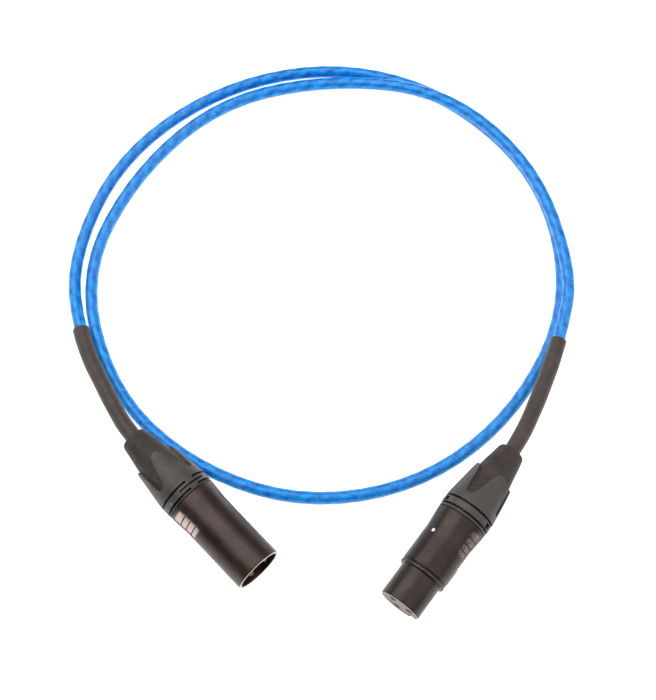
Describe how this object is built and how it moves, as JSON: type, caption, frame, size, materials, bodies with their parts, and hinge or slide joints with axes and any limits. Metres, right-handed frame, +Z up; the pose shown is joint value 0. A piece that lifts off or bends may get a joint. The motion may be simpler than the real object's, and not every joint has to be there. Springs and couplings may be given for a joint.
{
  "type": "audio cable",
  "caption": "Short balanced microphone lead coiled loosely, with a plug at one end and a latching socket at the other.",
  "frame": {"origin": "middle of the coil's bounding box in plan, on the surface it lies on", "axes": "+Z up, -Y towards the two connectors' mouths, +X to the side of the socket"},
  "size_m": [0.2016, 0.2384, 0.0206],
  "materials": {
    "cable_pvc": "glossy",
    "shell_black_metal": "glossy black plating",
    "insulator": "satin",
    "contact_metal": "gold plated",
    "latch_metal": "dark plating",
    "spring_steel": "bright",
    "bushing_plastic": "satin",
    "ring_plastic": "satin",
    "boot_rubber": "fine matt grain",
    "chuck_plastic": "satin",
    "wire_pvc": "satin",
    "heat_shrink": "matt"
  },
  "bodies": {
    "lead": {"cable_jacket": "cable_pvc", "plug_boot": "boot_rubber", "plug_bushing": "bushing_plastic", "plug_chuck": "chuck_plastic", "plug_coding_ring": "ring_plastic", "plug_ground_clip": "spring_steel", "plug_insert": "insulator", "plug_pin_1": "contact_metal", "plug_pin_2": "contact_metal", "plug_pin_3": "contact_metal", "plug_shell": "shell_black_metal", "plug_sleeve": "heat_shrink", "plug_wire_1": "wire_pvc", "plug_wire_2": "wire_pvc", "plug_wire_3": "wire_pvc", "socket_boot": "boot_rubber", "socket_bushing": "bushing_plastic", "socket_chuck": "chuck_plastic", "socket_coding_ring": "ring_plastic", "socket_contact_1": "contact_metal", "socket_contact_2": "contact_metal", "socket_contact_3": "contact_metal", "socket_ground_clip": "spring_steel", "socket_insert": "insulator", "socket_latch_pin": "spring_steel", "socket_latch_spring": "spring_steel", "socket_shell": "shell_black_metal", "socket_sleeve": "heat_shrink", "socket_wire_1": "wire_pvc", "socket_wire_2": "wire_pvc", "socket_wire_3": "wire_pvc"},
    "latch": {"socket_latch": "latch_metal"}
  },
  "joints": [
    {"name": "latch_press", "type": "hinge", "parent": "lead", "child": "latch", "pos_m": [0.05122, -0.09415, 0.00496], "axis": [-0.5226, 0.4183, -0.7429], "range_deg": [0, 3.4], "stiffness_Nm_per_rad": 0.5, "deforming": ["socket_latch_spring"]}
  ]
}
